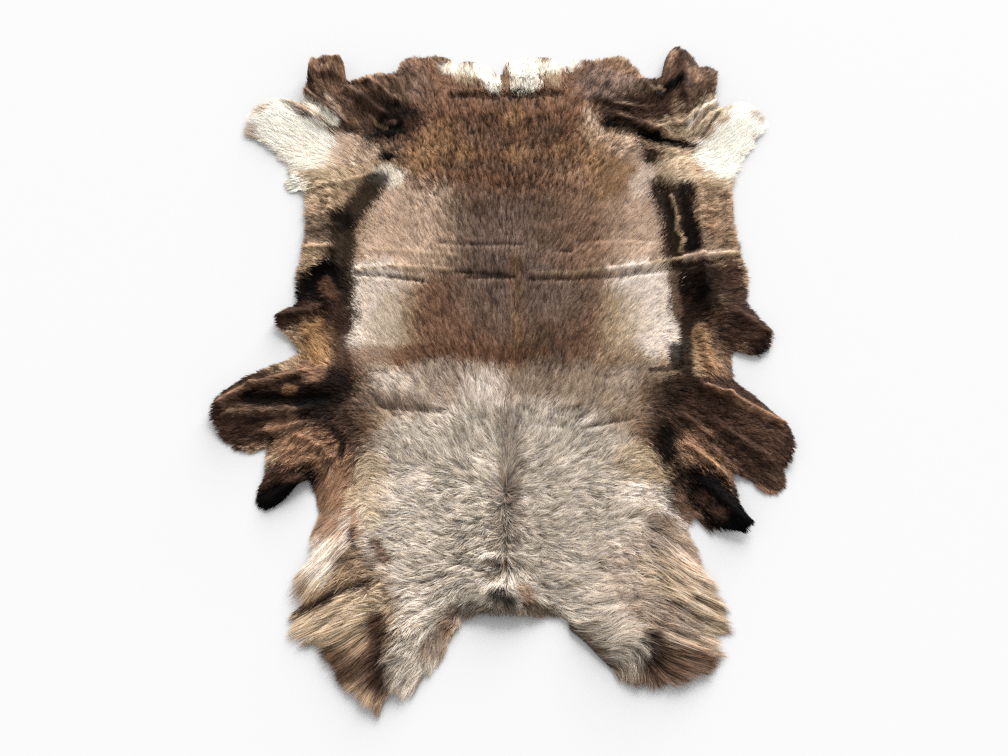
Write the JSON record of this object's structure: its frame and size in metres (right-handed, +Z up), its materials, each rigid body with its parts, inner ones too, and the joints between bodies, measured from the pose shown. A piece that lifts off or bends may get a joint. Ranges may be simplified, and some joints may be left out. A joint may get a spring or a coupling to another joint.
{
  "type": "reindeer hide",
  "caption": "Tanned reindeer hide with its coat on, laid out flat as a rug or throw, with leg flaps, a long-haired grey neck and white tail tufts.",
  "frame": {"origin": "on the ground under the middle of the hide's outline", "axes": "+Z up, out of the coat; +Y along the back from the neck to the rump; +X to the right as seen from the neck end"},
  "size_m": [0.995, 1.283, 0.0399],
  "materials": {
    "coat": "dense lying hair, umber back, cream flanks, grey neck, near-black and tan legs, white tail tufts",
    "skin": "tanned skin, pale buff suede on the flesh side, dark under the coat"
  },
  "bodies": {
    "root": {"hide": "coat"}
  },
  "joints": []
}
